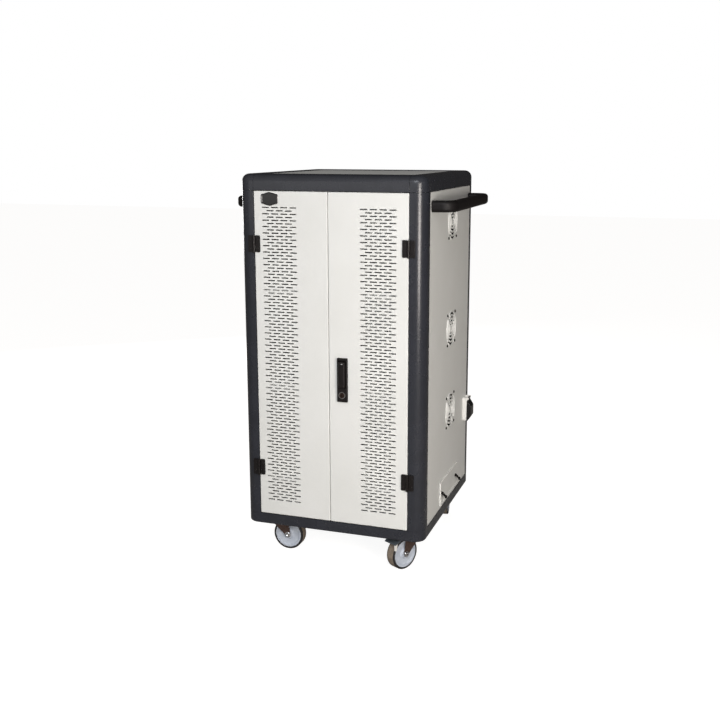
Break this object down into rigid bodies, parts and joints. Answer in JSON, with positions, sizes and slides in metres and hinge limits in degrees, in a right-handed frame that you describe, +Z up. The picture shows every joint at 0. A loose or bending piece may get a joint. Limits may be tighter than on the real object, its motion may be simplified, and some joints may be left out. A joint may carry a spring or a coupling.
{
  "type": "laptop charging cart",
  "caption": "Steel cabinet on swivel casters with perforated double doors, dark rounded frame, side handles, fans, power inlet and divided shelves that store and charge laptops.",
  "frame": {"origin": "floor level, in the middle of the overall box in width and depth", "axes": "+Z up, -Y towards the front of the doors, +X to the right as seen from the front"},
  "size_m": [0.716, 0.616, 1.199],
  "materials": {
    "frame_coat": "charcoal blue-grey powder coat, satin",
    "panel_paint": "off-white powder coat, satin",
    "black_zinc": "black coated zinc casting, semi-matt",
    "black_plastic": "moulded black plastic, fine texture",
    "white_plastic": "moulded white plastic",
    "zinc_plate": "zinc-plated pressed steel",
    "chrome": "polished plating",
    "wheel_polymer": "pale blue-grey moulded wheel with a grey tread"
  },
  "bodies": {
    "cabinet": {"base_frame": "frame_coat", "post_front_left": "frame_coat", "post_front_right": "frame_coat", "post_rear_left": "frame_coat", "post_rear_right": "frame_coat", "top_corner_front_left": "frame_coat", "top_corner_front_right": "frame_coat", "top_corner_rear_left": "frame_coat", "top_corner_rear_right": "frame_coat", "top_rail_front": "frame_coat", "top_rail_rear": "frame_coat", "top_rail_left": "frame_coat", "top_rail_right": "frame_coat", "top_panel": "panel_paint", "left_side_panel": "panel_paint", "right_side_panel": "panel_paint", "rear_panel": "panel_paint", "hinge_frame_leaf_left_lower": "black_zinc", "hinge_frame_leaf_left_upper": "black_zinc", "hinge_frame_leaf_right_lower": "black_zinc", "hinge_frame_leaf_right_upper": "black_zinc", "right_handle": "black_plastic", "left_handle": "black_plastic", "fan_frame_lower": "black_plastic", "fan_frame_middle": "black_plastic", "fan_frame_upper": "black_plastic", "inlet_housing": "white_plastic", "shelf_lower": "panel_paint", "shelf_middle": "panel_paint", "shelf_upper": "panel_paint", "partition": "panel_paint", "power_strip": "white_plastic"},
    "left_door": {"left_door": "panel_paint", "hinge_door_leaf_left_lower": "black_zinc", "hinge_door_leaf_left_upper": "black_zinc", "badge_plate": "black_plastic"},
    "right_door": {"right_door": "panel_paint", "hinge_door_leaf_right_lower": "black_zinc", "hinge_door_leaf_right_upper": "black_zinc", "lock_case": "black_zinc"},
    "pull_lever": {"pull_lever": "black_zinc"},
    "key_and_cam": {"key_barrel": "chrome", "lock_cam": "zinc_plate"},
    "caster_front_left": {"caster_fork_front_left": "zinc_plate"},
    "caster_front_right": {"caster_fork_front_right": "zinc_plate"},
    "caster_rear_left": {"caster_fork_rear_left": "zinc_plate"},
    "caster_rear_right": {"caster_fork_rear_right": "zinc_plate"},
    "wheel_front_left": {"wheel_front_left": "wheel_polymer"},
    "wheel_front_right": {"wheel_front_right": "wheel_polymer"},
    "wheel_rear_left": {"wheel_rear_left": "wheel_polymer"},
    "wheel_rear_right": {"wheel_rear_right": "wheel_polymer"},
    "brake_front_left": {"brake_pedal_front_left": "black_plastic"},
    "brake_front_right": {"brake_pedal_front_right": "black_plastic"},
    "impeller_lower": {"fan_impeller_lower": "black_plastic"},
    "impeller_middle": {"fan_impeller_middle": "black_plastic"},
    "impeller_upper": {"fan_impeller_upper": "black_plastic"},
    "inlet_lid": {"inlet_lid": "black_plastic"},
    "access_hatch": {"access_hatch": "panel_paint"},
    "hatch_latch_front": {"hatch_latch_front": "black_zinc"},
    "hatch_latch_rear": {"hatch_latch_rear": "black_zinc"}
  },
  "joints": [
    {"name": "left_door_hinge", "type": "hinge", "parent": "cabinet", "child": "left_door", "pos_m": [-0.23925, -0.2969, 0.6495], "axis": [0, 0, -1], "range_deg": [0, 175]},
    {"name": "right_door_hinge", "type": "hinge", "parent": "cabinet", "child": "right_door", "pos_m": [0.23925, -0.2969, 0.6495], "axis": [0, 0, 1], "range_deg": [0, 175]},
    {"name": "pull_lever_lift", "type": "hinge", "parent": "right_door", "child": "pull_lever", "pos_m": [0.038, -0.2975, 0.651], "axis": [-1, 0, 0], "range_deg": [0, 35]},
    {"name": "key_turn", "type": "hinge", "parent": "right_door", "child": "key_and_cam", "pos_m": [0.038, -0.29, 0.5525], "axis": [0, 1, 0], "range_deg": [0, 90]},
    {"name": "caster_swivel_front_left", "type": "hinge", "parent": "cabinet", "child": "caster_front_left", "pos_m": [-0.224, -0.192, 0.11], "axis": [0, 0, 1], "continuous": true},
    {"name": "caster_swivel_front_right", "type": "hinge", "parent": "cabinet", "child": "caster_front_right", "pos_m": [0.224, -0.192, 0.11], "axis": [0, 0, 1], "continuous": true},
    {"name": "caster_swivel_rear_left", "type": "hinge", "parent": "cabinet", "child": "caster_rear_left", "pos_m": [-0.224, 0.208, 0.11], "axis": [0, 0, 1], "continuous": true},
    {"name": "caster_swivel_rear_right", "type": "hinge", "parent": "cabinet", "child": "caster_rear_right", "pos_m": [0.224, 0.208, 0.11], "axis": [0, 0, 1], "continuous": true},
    {"name": "wheel_spin_front_left", "type": "hinge", "parent": "caster_front_left", "child": "wheel_front_left", "pos_m": [-0.184, -0.192, 0.05], "axis": [0, 1, 0], "continuous": true},
    {"name": "wheel_spin_front_right", "type": "hinge", "parent": "caster_front_right", "child": "wheel_front_right", "pos_m": [0.204, -0.22664, 0.05], "axis": [0.866, -0.5, 0], "continuous": true},
    {"name": "wheel_spin_rear_left", "type": "hinge", "parent": "caster_rear_left", "child": "wheel_rear_left", "pos_m": [-0.25464, 0.23371, 0.05], "axis": [-0.6428, -0.766, 0], "continuous": true},
    {"name": "wheel_spin_rear_right", "type": "hinge", "parent": "caster_rear_right", "child": "wheel_rear_right", "pos_m": [0.21774, 0.24751, 0.05], "axis": [-0.9877, -0.1564, 0], "continuous": true},
    {"name": "brake_press_front_left", "type": "hinge", "parent": "caster_front_left", "child": "brake_front_left", "pos_m": [-0.194, -0.192, 0.1061], "axis": [0, 1, 0], "range_deg": [0, 6]},
    {"name": "brake_press_front_right", "type": "hinge", "parent": "caster_front_right", "child": "brake_front_right", "pos_m": [0.209, -0.21798, 0.1061], "axis": [0.866, -0.5, 0], "range_deg": [0, 6]},
    {"name": "fan_spin_lower", "type": "hinge", "parent": "cabinet", "child": "impeller_lower", "pos_m": [0.272, 0.026, 0.444], "axis": [1, 0, 0], "continuous": true},
    {"name": "fan_spin_middle", "type": "hinge", "parent": "cabinet", "child": "impeller_middle", "pos_m": [0.272, 0.026, 0.711], "axis": [1, 0, 0], "continuous": true},
    {"name": "fan_spin_upper", "type": "hinge", "parent": "cabinet", "child": "impeller_upper", "pos_m": [0.272, 0.026, 1.048], "axis": [1, 0, 0], "continuous": true},
    {"name": "inlet_lid_hinge", "type": "hinge", "parent": "cabinet", "child": "inlet_lid", "pos_m": [0.3033, 0.228, 0.4345], "axis": [0, -1, 0], "range_deg": [0, 110]},
    {"name": "hatch_hinge", "type": "hinge", "parent": "cabinet", "child": "access_hatch", "pos_m": [0.2898, 0.012, 0.164], "axis": [0, 1, 0], "range_deg": [0, 90]},
    {"name": "hatch_latch_turn_front", "type": "hinge", "parent": "access_hatch", "child": "hatch_latch_front", "pos_m": [0.29, -0.078, 0.198], "axis": [-1, 0, 0], "range_deg": [0, 90]},
    {"name": "hatch_latch_turn_rear", "type": "hinge", "parent": "access_hatch", "child": "hatch_latch_rear", "pos_m": [0.29, 0.102, 0.198], "axis": [1, 0, 0], "range_deg": [0, 90]}
  ]
}
